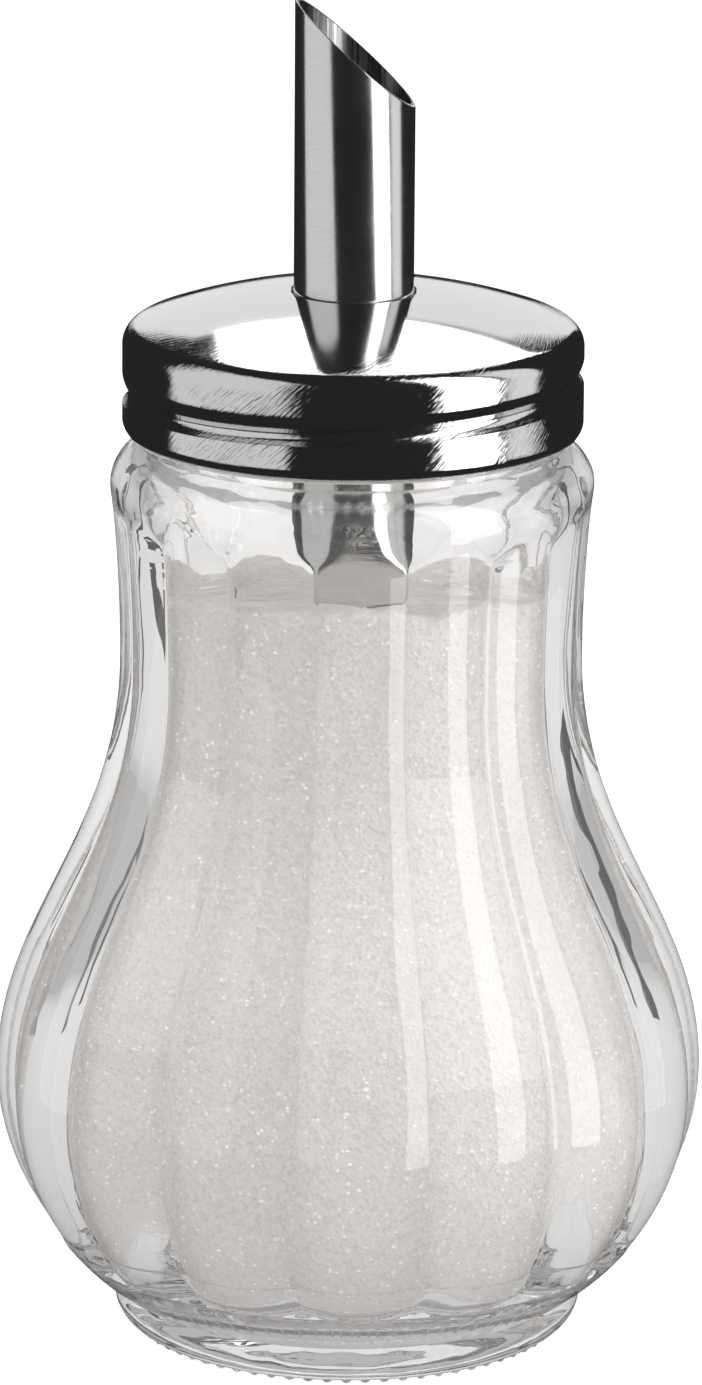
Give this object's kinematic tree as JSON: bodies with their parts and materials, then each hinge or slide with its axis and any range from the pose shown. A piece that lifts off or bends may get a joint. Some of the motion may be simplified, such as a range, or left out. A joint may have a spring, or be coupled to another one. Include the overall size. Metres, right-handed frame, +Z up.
{
  "type": "sugar dispenser",
  "caption": "Fluted bulbous glass jar with a domed screw cap and a slant-cut central pouring tube, filled with granulated sugar.",
  "frame": {"origin": "middle of the base, on the surface that the jar stands on", "axes": "+Z up along the jar's axis; -Y is the front; +X is to the right seen from the front; the tube's high tip points to -X"},
  "size_m": [0.0848, 0.0848, 0.162],
  "materials": {
    "jar_glass": "clear pressed glass",
    "sugar": null,
    "seal": "soft white seal",
    "cap_metal": "polished with fine turned lines",
    "tube_metal": "polished",
    "collar": "white moulded"
  },
  "bodies": {
    "jar": {"glass_jar": "jar_glass", "sugar_fill": "sugar"},
    "seal": {"sealing_ring": "seal"},
    "cap": {"cap_shell": "cap_metal", "pour_tube": "tube_metal", "tube_collar": "collar"}
  },
  "joints": [
    {"name": "cap_lift", "type": "slide", "parent": "jar", "child": "seal", "axis": [0, 0, 1], "range_m": [0, 0.00381]},
    {"name": "cap_turn", "type": "hinge", "parent": "seal", "child": "cap", "pos_m": [0, 0, 0.1104], "axis": [0, 0, 1], "range_deg": [0, 270]}
  ],
  "couplings": [
    {"joint": "cap_lift", "follows": "cap_turn", "m_per_rad": 0.0008085}
  ]
}
